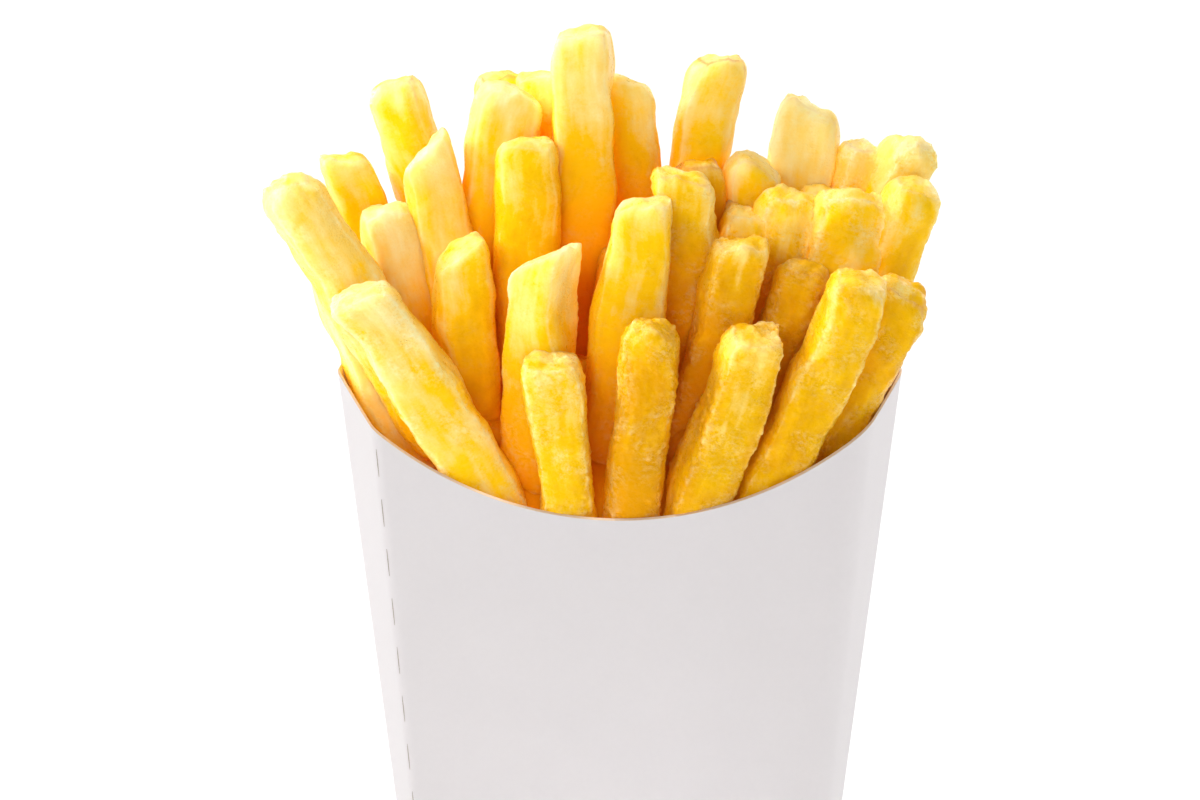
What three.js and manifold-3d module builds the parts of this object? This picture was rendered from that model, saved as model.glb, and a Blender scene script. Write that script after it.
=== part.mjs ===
// French fries in a scoop carton: a flared sleeve of folded paperboard with bowed front and back panels,
// creased side gussets, a low scooped front rim and a tall rounded back, packed with a fan of fries.
// Millimetres, +Z up. The origin is the middle of the base, and the low front faces -Y.
import * as THREE from 'three';
import { mergeVertices } from 'three/addons/utils/BufferGeometryUtils.js';
import Module from 'manifold-3d';

const wasm = await Module();
wasm.setup();

// Carton: each pair is the size at the base and its growth for each millimetre of height
const board = 0.5;
const baseThickness = 0.9;
const foldHalfWidth = { base: 35.6, flare: 0.114 };
const creaseHalfWidth = { base: 32.6, flare: 0.081 };
const creaseDepth = { base: 10, flare: 0.05 };
const panelBow = { base: 3, flare: 0.03 };
const panelSteps = 10;

// How far the folds and the creases move for each millimetre that the walls are drawn inwards
const foldDraw = 1.07;
const creaseDraw = 0.69;

// Rim: a hollow arc in front and a rounded back, which meet at the side folds
const frontRimLow = 77;
const frontRimRadius = 64.5;
const backRimHigh = 121;
const rimHalfWidth = 46.6;
const rimSteps = 40;
const rimLap = 0.02;

// Blocks that only cut reach well past what they cut
const farOut = 60;
const margin = 1;
const weldDistance = 1e-5;

// Heap: the packed heart under the fries, a dome set back from the low front rim
const clearance = 0.35;
const heartInset = 1.4;
const domeCentre = [0, 12, 40];
const domeRadii = [62, 32, 66];
const domeSegments = [28, 16];

// Fry: an oblong bar with chamfered edges and a softened tip
const chamferShare = 0.24;
const tipSoftening = 2.2;
const tipShare = 0.78;
const barSteps = 4;
const smallestEdge = 0.02;

// Each fry: tip [x, y, z], foot [x, y, z], width, thickness, turn about its length in degrees, sideways bow
const friesByRow = {
  front: [
    [[-42.5, -15, 114], [-14, -9, 60], 10.2, 9.4, 12, 2.6],
    [[-11.5, -16.5, 103.5], [-8.5, -12, 60], 9.2, 9, 0, 1],
    [[5.5, -17, 109.5], [-1, -12, 60], 9.6, 9.2, 0, 0.3],
    [[22, -16.5, 108], [5.5, -12, 60], 9.6, 9.2, 10, 0.5],
    [[39, -14, 116.5], [13.5, -10.5, 60], 9.4, 9.4, 8, 0.8],
    [[46, -7.5, 113.5], [18, -6, 60], 9.6, 9.2, 5, 1.5],
  ],
  second: [
    [[-54.5, -7, 131], [-28, -4, 84], 10.6, 10, 8, 0.5],
    [[-47, 1, 116], [-26.5, 0, 60], 9.6, 9.2, 15, 0],
    [[-43, 8, 96.5], [-26, 6, 60], 8.6, 9, 20, 0],
    [[-26, -4, 120], [-23, -2, 60], 9.4, 9.2, 15, 0],
    [[-11.7, -9.5, 119], [-16, -7, 60], 9.4, 9, -28, 0],
    [[3.8, -8, 128], [-8, -4.5, 60], 11.2, 9.4, 0, 1.4],
    [[20, -8, 121], [2.5, -5, 60], 8.6, 9, 8, 0.3],
    [[30.4, -4, 116.3], [13, -3, 60], 8.6, 8.8, 0, 0],
  ],
  third: [
    [[-38.2, 4, 124], [-29, 3, 60], 10.2, 9, 40, 0],
    [[-32, 5.5, 134], [-19, 5, 60], 8.8, 9, 10, 0],
    [[-15, 2, 136], [-16, 3, 60], 10, 9.2, 5, 0],
    [[10, -0.5, 131], [11.5, 1, 60], 9.2, 9, 0, 0.5],
    [[21.2, 3.5, 124], [12.5, 3, 60], 9.4, 9, 10, 0],
    [[28, 4, 126.8], [17, 4, 60], 10.4, 9, 0, 0],
    [[33.6, 10, 126.4], [24, 9, 60], 9, 7, 0, 0],
    [[38.6, 3, 127.4], [25.5, 2, 60], 12, 9, 4, 0],
    [[49.2, 4.5, 128], [31, 4, 60], 9.4, 9, 15, -2.5],
    [[1, 2, 118], [0, 2, 60], 9, 9, 5, 0],
  ],
  back: [
    [[-46, 12, 131], [-22, 8, 64], 7.8, 8.6, 15, 0],
    [[-38, 19, 142], [-24, 12, 98], 9, 8.8, 0, 0],
    [[-20, 19.5, 143.3], [-20, 10, 60], 8.2, 8.8, 10, 0],
    [[-17.8, 10.5, 143.3], [-20, 7, 60], 11.9, 9, 5, -3],
    [[-13, 18, 144], [-9, 10, 60], 8.6, 9, 0, 0],
    [[-5.6, 9, 152.7], [-5.7, 6.5, 60], 10.2, 9.4, 0, 0],
    [[1.3, 15, 143.6], [2.3, 11, 60], 9, 8.8, 5, 0],
    [[17, 16, 147.5], [8, 10, 60], 8.8, 8.8, 5, -3],
    [[12.7, 7, 131], [11.5, 7, 76], 7.8, 8.4, 5, 0],
    [[22.6, 9.5, 131.3], [17.5, 9.5, 60], 8.8, 9, 12, -2],
    [[32.4, 17, 138.3], [15, 9.5, 60], 11, 9, 0, 0],
    [[41, 15, 132.2], [22, 10, 60], 8.4, 8.8, 8, -1.5],
    [[48.6, 13, 133.7], [29, 7, 60], 8.6, 8.8, 10, -2.5],
    [[-33, 14, 118], [-28, 10, 60], 9, 9, 5, 0],
  ],
};

function toSolid(geometry) {
  geometry.deleteAttribute('normal');
  geometry.deleteAttribute('uv');
  const merged = mergeVertices(geometry, weldDistance);
  const mesh = new wasm.Mesh({
    numProp: 3,
    vertProperties: Float32Array.from(merged.attributes.position.array),
    triVerts: Uint32Array.from(merged.index.array),
  });
  return new wasm.Manifold(mesh);
}

function toGeometry(solid) {
  const mesh = solid.getMesh();
  const geometry = new THREE.BufferGeometry();
  geometry.setAttribute('position', new THREE.BufferAttribute(mesh.vertProperties, 3));
  geometry.setIndex(new THREE.BufferAttribute(mesh.triVerts, 1));
  geometry.computeVertexNormals();
  return geometry;
}

// The carton's six-sided section at height z, drawn inwards by inset at every wall
function section(z, inset) {
  const at = (size) => size.base + size.flare * z;
  return {
    fold: at(foldHalfWidth) - foldDraw * inset,
    crease: at(creaseHalfWidth) - creaseDraw * inset,
    depth: at(creaseDepth) - inset,
    bow: at(panelBow),
  };
}

// A closed block with the carton's flared outline, from one height to another
function flaredBlock(low, high, inset) {
  const foot = section(low, inset);
  const outline = [];
  for (const side of [-1, 1]) {
    for (let i = 0; i <= panelSteps; i += 1) {
      const across = side * (1 - (2 * i) / panelSteps);
      const depth = foot.depth + foot.bow * (1 - across * across);
      outline.push(new THREE.Vector2(across * foot.crease, side * depth));
    }
    outline.push(new THREE.Vector2(-side * foot.fold, 0));
  }
  const shape = new THREE.Shape(outline);
  const geometry = new THREE.ExtrudeGeometry(shape, { depth: high - low, bevelEnabled: false });
  const position = geometry.attributes.position;
  for (let i = 0; i < position.count; i += 1) {
    const z = low + position.getZ(i);
    const here = section(z, inset);
    const y = position.getY(i);
    if (Math.abs(y) < weldDistance) {
      position.setXYZ(i, Math.sign(position.getX(i)) * here.fold, 0, z);
    } else {
      const across = position.getX(i) / foot.crease;
      const depth = here.depth + here.bow * (1 - across * across);
      position.setXYZ(i, across * here.crease, Math.sign(y) * depth, z);
    }
  }
  return toSolid(geometry);
}

// Everything under the rim, front and back, with the rim moved out by grow
function underRim(grow) {
  const frontRadius = frontRimRadius - grow;
  const frontCentre = frontRimLow + frontRimRadius;
  const halfAngle = Math.asin(farOut / frontRadius);
  const front = new THREE.Shape();
  front.moveTo(-farOut, -farOut);
  front.lineTo(farOut, -farOut);
  front.absarc(0, frontCentre, frontRadius, halfAngle - Math.PI / 2, -halfAngle - Math.PI / 2, true);
  front.closePath();

  const foldRim = frontCentre - Math.sqrt(frontRimRadius ** 2 - rimHalfWidth ** 2);
  const rise = backRimHigh - foldRim;
  const radius = (rimHalfWidth ** 2 + rise ** 2) / (2 * rise);
  const backRadius = radius + grow;
  const back = new THREE.Shape();
  back.moveTo(-backRadius, -farOut);
  back.lineTo(backRadius, -farOut);
  back.absarc(0, backRimHigh - radius, backRadius, 0, Math.PI, false);
  back.closePath();

  const settings = { depth: farOut, bevelEnabled: false, curveSegments: rimSteps };
  const frontGeometry = new THREE.ExtrudeGeometry(front, settings);
  frontGeometry.rotateX(Math.PI / 2);
  const backGeometry = new THREE.ExtrudeGeometry(back, settings);
  backGeometry.translate(0, 0, rimLap - farOut);
  backGeometry.rotateX(Math.PI / 2);
  return toSolid(frontGeometry).add(toSolid(backGeometry));
}

// One fry, from its foot in the heap to its tip
function fry([tip, foot, width, thickness, turn, bow]) {
  const start = new THREE.Vector3(...foot);
  const along = new THREE.Vector3(...tip).sub(start);
  const length = along.length();
  along.normalize();
  const level = new THREE.Vector3(0, 1, 0).cross(along).normalize();
  const turned = THREE.MathUtils.degToRad(turn);
  const wide = level.clone().applyAxisAngle(along, turned);
  const thick = along.clone().cross(wide);

  const x = width / 2;
  const y = thickness / 2;
  const cut = chamferShare * Math.min(width, thickness);
  const octagon = new THREE.Shape([
    new THREE.Vector2(cut - x, -y),
    new THREE.Vector2(x - cut, -y),
    new THREE.Vector2(x, cut - y),
    new THREE.Vector2(x, y - cut),
    new THREE.Vector2(x - cut, y),
    new THREE.Vector2(cut - x, y),
    new THREE.Vector2(-x, y - cut),
    new THREE.Vector2(-x, cut - y),
  ]);
  const geometry = new THREE.ExtrudeGeometry(octagon, { depth: 1, steps: barSteps, bevelEnabled: false });
  const position = geometry.attributes.position;
  const point = new THREE.Vector3();
  for (let i = 0; i < position.count; i += 1) {
    const ring = Math.round(position.getZ(i) * barSteps);
    const straight = (length - tipSoftening) / (barSteps - 1);
    const reach = ring === barSteps ? length : ring * straight;
    const share = reach / length;
    const size = ring === barSteps ? tipShare : 1;
    point.copy(start).addScaledVector(along, reach);
    point.addScaledVector(level, 4 * bow * share * (1 - share));
    point.addScaledVector(wide, size * position.getX(i));
    point.addScaledVector(thick, size * position.getY(i));
    position.setXYZ(i, point.x, point.y, point.z);
  }
  return toSolid(geometry);
}

function makeCarton() {
  const outside = flaredBlock(0, backRimHigh, 0);
  const inside = flaredBlock(baseThickness, backRimHigh + margin, board);
  return outside.subtract(inside).intersect(underRim(0));
}

// The heap is one body out to every fry, kept just clear of the board
function makeFries() {
  const dome = new THREE.SphereGeometry(1, ...domeSegments);
  dome.rotateX(Math.PI / 2);
  dome.scale(...domeRadii);
  dome.translate(...domeCentre);
  const top = domeCentre[2] + domeRadii[2];
  const heart = flaredBlock(baseThickness + clearance, top, heartInset).intersect(toSolid(dome));

  const bars = Object.values(friesByRow).flat().map(fry);
  const heap = wasm.Manifold.union([heart, ...bars]);

  const beyondWall = flaredBlock(-margin, backRimHigh + margin, -clearance);
  const beforeWall = flaredBlock(-2 * margin, backRimHigh + 2 * margin, board + clearance);
  const wallRoom = beyondWall.subtract(beforeWall).intersect(underRim(clearance));
  const pieces = heap.subtract(wallRoom).simplify(smallestEdge).decompose();
  pieces.sort((a, b) => b.volume() - a.volume());
  return pieces[0];
}

function named(name, solid, colour, roughness) {
  const material = new THREE.MeshStandardMaterial({ color: colour, roughness, metalness: 0 });
  const mesh = new THREE.Mesh(toGeometry(solid), material);
  mesh.name = name;
  return mesh;
}

const model = new THREE.Group();
model.add(named('carton', makeCarton(), 0xf3f1f2, 0.55));
model.add(named('fries', makeFries(), 0xf3bd45, 0.45));

export default model;
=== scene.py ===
import math
from functools import partial

import bpy
import numpy as np
from mathutils import Matrix, Vector


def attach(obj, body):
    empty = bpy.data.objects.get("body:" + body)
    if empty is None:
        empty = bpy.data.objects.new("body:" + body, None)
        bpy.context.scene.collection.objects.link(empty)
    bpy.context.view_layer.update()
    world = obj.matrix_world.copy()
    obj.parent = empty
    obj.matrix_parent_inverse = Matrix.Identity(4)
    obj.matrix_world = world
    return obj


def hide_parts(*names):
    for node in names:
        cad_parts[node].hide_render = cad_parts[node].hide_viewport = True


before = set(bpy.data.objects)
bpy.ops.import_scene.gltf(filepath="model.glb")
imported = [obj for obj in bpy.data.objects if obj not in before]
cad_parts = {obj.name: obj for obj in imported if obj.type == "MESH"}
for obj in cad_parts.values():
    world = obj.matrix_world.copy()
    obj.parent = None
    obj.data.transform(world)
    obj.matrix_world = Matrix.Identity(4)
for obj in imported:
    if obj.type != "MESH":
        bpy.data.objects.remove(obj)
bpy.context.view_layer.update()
mm = 0.001
print("frame loaded, nodes:", len(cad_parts))


def linear(hexColour):  # sRGB hex to the linear values that shaders use
    channels = [int(hexColour[i : i + 2], 16) / 255 for i in (1, 3, 5)]
    return tuple(c / 12.92 if c < 0.04045 else ((c + 0.055) / 1.055) ** 2.4 for c in channels) + (1,)


# Adds one node and returns an output of it. An input given as a socket is linked, and any other value
# is set. A kind in capitals is an operation of the Math node, or with VECTOR of the Vector Math node
def addNode(tree, kind, inputs=(), out=0, **settings):
    if kind.isupper():
        settings["operation"] = kind.removeprefix("VECTOR ")
        kind = "ShaderNodeVectorMath" if kind.startswith("VECTOR ") else "ShaderNodeMath"
    node = tree.nodes.new(kind)
    for name, value in settings.items():
        setattr(node, name, value)
    pairs = inputs.items() if isinstance(inputs, dict) else enumerate(inputs)
    for key, value in pairs:
        if isinstance(value, bpy.types.NodeSocket):
            tree.links.new(value, node.inputs[key])
        else:
            node.inputs[key].default_value = value
    return node.outputs[out] if len(node.outputs) else node


def startMaterial(name):
    material = bpy.data.materials.new(name)
    material.use_nodes = True
    material.node_tree.nodes.clear()
    return material, partial(addNode, material.node_tree)


colourMix = {"out": 2, "data_type": "RGBA"}  # a Mix node's settings for colours, which go in 6 and 7

# Clay-coated paperboard: a smooth, bright, slightly satin white with a faint mottle of fibres under it
paperboard = {
    "shaded": "#F0EBEC",
    "white": "#FAF5F6",
    "fibreSize": 0.9,  # mm, drawn coarser than the real fibres so that they show
    "mottleSize": 14,
    "fibreShare": 0.35,  # how much the fibres and the mottle turn it from shaded to white
    "mottleShare": 0.5,
    "start": 0.1,
    "roughness": (0.42, 0.52),
    "bumpHeight": 0.05,
}


def clayCoatedPaperboard():
    material, add = startMaterial("clay_coated_paperboard")
    place = add("ShaderNodeTexCoord", out=3)
    fibreScale = 1 / (paperboard["fibreSize"] * mm)
    mottleScale = 1 / (paperboard["mottleSize"] * mm)
    fibres = {"Vector": place, "Scale": fibreScale, "Detail": 4, "Roughness": 0.6}
    fibres = add("ShaderNodeTexNoise", fibres)
    mottle = add("ShaderNodeTexNoise", {"Vector": place, "Scale": mottleScale, "Detail": 3})
    shade = add("MULTIPLY_ADD", (fibres, paperboard["fibreShare"], paperboard["start"]))
    shade = add("MULTIPLY_ADD", (mottle, paperboard["mottleShare"], shade))
    colours = {6: linear(paperboard["shaded"]), 7: linear(paperboard["white"])}
    colour = add("ShaderNodeMix", {0: shade, **colours}, **colourMix)
    rough = add("ShaderNodeMapRange", (mottle, 0.3, 0.7, *paperboard["roughness"]))
    bumpHeight = paperboard["bumpHeight"] * mm
    bump = add("ShaderNodeBump", {"Strength": 0.08, "Distance": bumpHeight, "Height": fibres})
    surface = add(
        "ShaderNodeBsdfPrincipled",
        {"Base Color": colour, "Roughness": rough, "IOR": 1.5, "Normal": bump, "Specular IOR Level": 0.35},
    )
    add("ShaderNodeOutputMaterial", (surface,))
    return material


# The bared middle of the board: unbleached pulp, matt, warm on the cut rim and grey-brown in the knife
# cuts, where the grey-brown is partly painted shade of the narrow cut. Each has a dark and a light colour
pulpColours = {
    "cut_pulp_and_shade": ("#A89A8E", "#CFC4BA"),
    "cut_board_edge": ("#FFD8AE", "#FFE8CC"),
}
pulpFibre = 0.4  # mm


def cutPulp(name):
    material, add = startMaterial(name)
    place = add("ShaderNodeTexCoord", out=3)
    fibres = add("ShaderNodeTexNoise", {"Vector": place, "Scale": 1 / (pulpFibre * mm), "Detail": 2})
    dark, light = pulpColours[name]
    colour = add("ShaderNodeMix", {0: fibres, 6: linear(dark), 7: linear(light)}, **colourMix)
    surface = add("ShaderNodeBsdfPrincipled", {"Base Color": colour, "Roughness": 0.8, "IOR": 1.5})
    add("ShaderNodeOutputMaterial", (surface,))
    return material


# Deep-fried potato: a thin oily crust, cream on blisters and, partly as painted highlight, on tips and
# edges, over soft flesh that glows yellow where it is open to the light. Deep in the heap its colour turns
# to painted amber shade, and a faint emission is a painted glow
fried = {
    "cream": "#FFF4B8",
    "yellow": "#FFCD0A",
    "golden": "#DE9C00",
    # amber is painted shade, the colour deep in the heap
    "shadeAmber": "#F48C00",
    "brown": "#E08A10",
    "gloss": "#FFCC30",
    # glow is the colour of a faint emission, a painted glow
    "paintedGlow": "#FFA818",
    # Size in mm, detail, roughness, and how densely it runs across, through and along the fry. Real
    # crust is finer than speckle and fine, which are as coarse as they need to show
    "patterns": {
        "streaks": (1.3, 2, 0.5, (1, 1, 0.1)),
        "patches": (5, 2, 0.5, (1, 1, 0.4)),
        "mottle": (2.4, 3, 0.6, (1, 1, 1)),
        "speckle": (0.6, 3, 0.65, (0.75, 0.75, 1)),
        "crusting": (4.5, 2, 0.5, (1, 1, 1)),
        "fine": (0.35, 2, 0.6, (1, 1, 1)),
    },
    # Mixes: a start, and what each pattern or mark adds to it
    "crusted": (0, {"crusting": 1, "edge": 0.18}),
    # Ripe goes from golden to yellow flesh. Near the tip it is partly painted highlight, and deep in the
    # heap it falls back to golden as painted shade
    "ripe": (
        -0.05,
        {
            "tone": 1.5,
            "patches": 1.4,
            "mottle": 0.8,
            "streaks": 0.5,
            "fine": 0.6,
            "tipGlow": 0.5,
            "burial": -0.7,
        },
    ),
    # How fast the painted amber shade comes in with depth, slower on pale fries
    "shadeCurve": (0.9, {"tone": 0.8}),
    # Pale goes from flesh to cream. On tips and edges it is partly crisper crust and partly painted
    # highlight, and deep in the heap it fades as painted shade
    "pale": (
        -0.46,
        {
            "tone": 0.6,
            "tipGlow": 0.4,
            "edge": 0.3,
            "mottle": 0.6,
            "patches": 1.5,
            "streaks": 0.6,
            "fine": 0.7,
            "burial": -0.9,
        },
    ),
    "crust": (0.07, {"speckle": 1.3, "relief": 0.4}),
    "crustStrength": (0.55, {"tone": 0.6}),
    "browned": (-1.2, {"tipGlow": 1.2, "edge": 0.6, "mottle": 1.6}),
    "crustRange": (-0.05, 0.15),  # where the crust starts and where it is whole
    "leastGrain": 0.15,  # share of the grain left off the crust
    "leastFine": 0.25,
    "mostShade": 0.95,
    "toasting": 1.6,
    "mostBrown": 0.8,
    "glossy": (-0.15, 0.2, 0.25, 0.45),  # from the speckle's low and high to the roughness there
    "fineHeight": 0.6,
    "bumpHeight": 0.5,  # mm
}

# What each fry's mesh carries for the material, beside grainPlace
potatoMarks = ("tone", "edge", "grain", "relief", "tipGlow", "burial", "toast")


def friedPotato():
    material, add = startMaterial("deep_fried_potato")
    place = add("ShaderNodeAttribute", out=1, attribute_name="grainPlace")
    values = {label: add("ShaderNodeAttribute", out=2, attribute_name=label) for label in potatoMarks}
    for label, (size, detail, roughness, density) in fried["patterns"].items():
        at = add("VECTOR MULTIPLY", (place, density))
        sizes = {"Vector": at, "Scale": 1 / size, "Detail": detail, "Roughness": roughness}
        values[label] = add("SUBTRACT", (add("ShaderNodeTexNoise", sizes), 0.5))

    def weigh(name):  # adds up one of the mixes
        total, shares = fried[name]
        for label, share in shares.items():
            total = add("MULTIPLY_ADD", (values[label], share, total))
        return total

    crusted = (weigh("crusted"), *fried["crustRange"])
    crusted = add("ShaderNodeMapRange", crusted, interpolation_type="SMOOTHSTEP")
    crusted = add("MULTIPLY_ADD", (crusted, 1 - fried["leastGrain"], fried["leastGrain"]))
    grain = add("MULTIPLY", (values["grain"], crusted))
    coarse = add("MULTIPLY_ADD", (grain, 1 - fried["leastFine"], fried["leastFine"]))
    values["fine"] = add("MULTIPLY", (values["fine"], coarse))

    golden, yellow = linear(fried["golden"]), linear(fried["yellow"])
    ripe = add("ADD", (weigh("ripe"), 0), use_clamp=True)
    flesh = add("ShaderNodeMix", {0: ripe, 6: golden, 7: yellow}, **colourMix)
    # Painted shade: deep in the heap the flesh turns amber
    shadeShare = add("POWER", (values["burial"], weigh("shadeCurve")))
    shadeShare = add("MULTIPLY", (shadeShare, fried["mostShade"]))
    flesh = add("ShaderNodeMix", {0: shadeShare, 6: flesh, 7: linear(fried["shadeAmber"])}, **colourMix)

    crustStrength = add("MULTIPLY", (grain, weigh("crustStrength")))
    crust = add("MULTIPLY", (weigh("crust"), crustStrength))
    pale = add("MAXIMUM", (weigh("pale"), 0))
    pale = add("ADD", (pale, crust), use_clamp=True)
    # Cream over the flesh: crust and blisters, and on tips and edges partly painted highlight
    colour = add("ShaderNodeMix", {0: pale, 6: flesh, 7: linear(fried["cream"])}, **colourMix)
    toasted = add("MULTIPLY", (values["toast"], fried["toasting"]))
    browned = add("MULTIPLY", (weigh("browned"), toasted), use_clamp=True)
    browned = add("MULTIPLY", (browned, fried["mostBrown"]))
    colour = add("ShaderNodeMix", {0: browned, 6: colour, 7: linear(fried["brown"])}, **colourMix)

    rough = add("ShaderNodeMapRange", (values["speckle"], *fried["glossy"]))
    onCrust = add("MULTIPLY_ADD", (grain, 1 - fried["leastGrain"], fried["leastGrain"]))
    height = add("MULTIPLY", (values["speckle"], onCrust))
    height = add("MULTIPLY_ADD", (values["fine"], fried["fineHeight"], height))
    bumpHeight = fried["bumpHeight"] * mm
    bump = add("ShaderNodeBump", {"Strength": 0.9, "Distance": bumpHeight, "Height": height})
    surface = add(
        "ShaderNodeBsdfPrincipled",
        {
            "Base Color": colour,
            "Roughness": rough,
            "IOR": 1.46,
            "Normal": bump,
            "Specular IOR Level": 0.35,
            "Specular Tint": linear(fried["gloss"]),
            "Subsurface Weight": 0.75,
            "Subsurface Radius": (4.5, 4.2, 1.6),  # mm that red, green and blue travel in the flesh
            "Subsurface Scale": 1 * mm,
            # A faint warm emission: painted glow that lifts the shade between the fries
            "Emission Color": linear(fried["paintedGlow"]),
            "Emission Strength": 0.02,
        },
        subsurface_method="BURLEY",
    )
    add("ShaderNodeOutputMaterial", (surface,))
    return material


# Matt white studio paper: even and almost without shine
def studioPaper():
    material, add = startMaterial("studio_paper")
    surface = add("ShaderNodeBsdfPrincipled", {"Base Color": linear("#FBFBFB"), "Roughness": 0.9})
    add("ShaderNodeOutputMaterial", (surface,))
    return material


board = clayCoatedPaperboard()
pulp = cutPulp("cut_pulp_and_shade")
cutBoard = cutPulp("cut_board_edge")
potato = friedPotato()
print("materials made")


# Puts a mesh, light or camera in the scene
def addToScene(name, data):
    thing = bpy.data.objects.new(name, data)
    bpy.context.collection.objects.link(thing)
    return thing


def makeMesh(name, vertices, faces, *materials):  # vertices in mm
    mesh = bpy.data.meshes.new(name)
    mesh.from_pydata([tuple(c * mm for c in vertex) for vertex in vertices], [], faces)
    for material in materials:
        mesh.materials.append(material)
    return mesh


def ringFaces(first, second, count):
    pairs = [(i, (i + 1) % count) for i in range(count)]
    return [(first + i, first + j, second + j, second + i) for i, j in pairs]


# Joins rings of points to a closed skin, with one point in the middle of each end
def skinRings(rings, bottom, top):
    count = len(rings[0])
    vertices = [point for ring in rings for point in ring] + [bottom, top]
    faces = []
    for i in range(len(rings) - 1):
        faces += ringFaces(i * count, (i + 1) * count, count)
    under = len(vertices) - 2
    last = under - count
    faces += [(under, (i + 1) % count, i) for i in range(count)]
    faces += [(under + 1, last + i, last + (i + 1) % count) for i in range(count)]
    return vertices, faces


def wear(piece, node):
    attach(piece, "root")
    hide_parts(node)


# The folded sleeve, in mm. Each pair is the size at the base and its growth for each mm of height
carton = {
    "board": 0.5,
    "baseThickness": 0.9,
    "foldHalfWidth": (35.6, 0.114),
    "creaseHalfWidth": (32.6, 0.081),
    "creaseDepth": (10, 0.05),
    "panelBow": (3, 0.03),
    "foldInset": 1.07,  # how far a fold and a crease move in for each mm of wall
    "creaseInset": 0.69,
    "frontRimLow": 77,
    "frontRimRadius": 64.5,
    "backRimHigh": 121,
    "rimHalfWidth": 46.6,
    "cornerReach": (1.0, 1.5, 3.2, 1.4, 3.2, 0.6),  # how far each corner is rounded, most on the right
    "edgeRound": 0.32,  # how far the middle of the cut rim stands out
    "rows": 72,
    "cornerSteps": 8,
    "panelSteps": 56,
    "gussetSteps": 10,
    "lapShare": 0.17,  # of the back, under the glued lap
    "lapStep": 0.002,  # of the back, over which its edge rises
    "lapThickness": 0.35,
    "sharpAngle": 35,  # degrees
    "foodGap": 0.15,
    "creaseEase": 1.2,  # how much narrower the space for the food is at the rounded creases
    "leanOut": 1.6,  # mm the food may stand out for each mm above the rim
}


def sized(pair, z):
    return pair[0] + pair[1] * z


# The rim is an arc on each side, seen from the front: its radius and its centre's height
def rimCircles():
    frontRadius = carton["frontRimRadius"]
    frontCentre = carton["frontRimLow"] + frontRadius
    foldRim = frontCentre - math.sqrt(frontRadius**2 - carton["rimHalfWidth"] ** 2)
    rise = carton["backRimHigh"] - foldRim
    backRadius = (carton["rimHalfWidth"] ** 2 + rise**2) / (2 * rise)
    return frontRadius, frontCentre, backRadius, carton["backRimHigh"] - backRadius


def rimHeight(x, isFront):
    frontRadius, frontCentre, backRadius, backCentre = rimCircles()
    if isFront:
        return frontCentre - math.sqrt(frontRadius**2 - x**2)
    return backCentre + math.sqrt(max(backRadius**2 - x**2, 0))


# The sleeve's corners are the left fold, two front creases, the right fold and two back creases, and
# wall k runs from corner k to the next one. Points are complex numbers, x + y j, in mm
def sleevePoint(column, z, inset):
    k, onCorner, share = column
    fold = sized(carton["foldHalfWidth"], z) - carton["foldInset"] * inset
    crease = sized(carton["creaseHalfWidth"], z) - carton["creaseInset"] * inset
    depth = 1j * (sized(carton["creaseDepth"], z) - inset)
    bow = sized(carton["panelBow"], z)
    corners = (-fold + 0j, -crease - depth, crease - depth, fold + 0j, crease + depth, -crease + depth)
    bowSide = (0, -1j, 0, 0, 1j, 0)
    reach = carton["cornerReach"]

    def onWall(wall, fromFirst=None, fromLast=None):
        first = corners[wall]
        line = corners[(wall + 1) % 6] - first
        at = fromFirst / abs(line) if fromLast is None else 1 - fromLast / abs(line)
        return first + line * at + bowSide[wall] * bow * (1 - (2 * at - 1) ** 2)

    if onCorner:
        start = onWall((k + 5) % 6, fromLast=reach[k])
        end = onWall(k, fromFirst=reach[k])
        return start * (1 - share) ** 2 + corners[k] * 2 * share * (1 - share) + end * share**2
    clear = abs(corners[(k + 1) % 6] - corners[k]) - reach[k] - reach[(k + 1) % 6]
    return onWall(k, fromFirst=reach[k] + clear * share)


# The columns of points, once round from the left fold by the front. Each says which corner or wall it
# is on, whether that is a corner, and its share of the way along
def sleeveColumns():
    columns = []
    lapStart = 1 - carton["lapShare"]
    for k in range(6):
        columns += [(k, True, share) for share in np.linspace(0, 1, carton["cornerSteps"] + 1)]
        steps = carton["panelSteps"] if k in (1, 4) else carton["gussetSteps"]
        shares = set(np.linspace(0, 1, steps + 1)[1:-1])
        if k == 4:
            shares |= {lapStart, lapStart + carton["lapStep"]}
        columns += [(k, False, share) for share in sorted(shares)]
    return columns


# How far the glued lap stands out from the back
def lapLift(column):
    k, onCorner, share = column
    if k == 4 and not onCorner and share > 1 - carton["lapShare"]:
        return carton["lapThickness"]
    if k == 5 and onCorner:
        return carton["lapThickness"] * (1 - share)
    return 0


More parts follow.
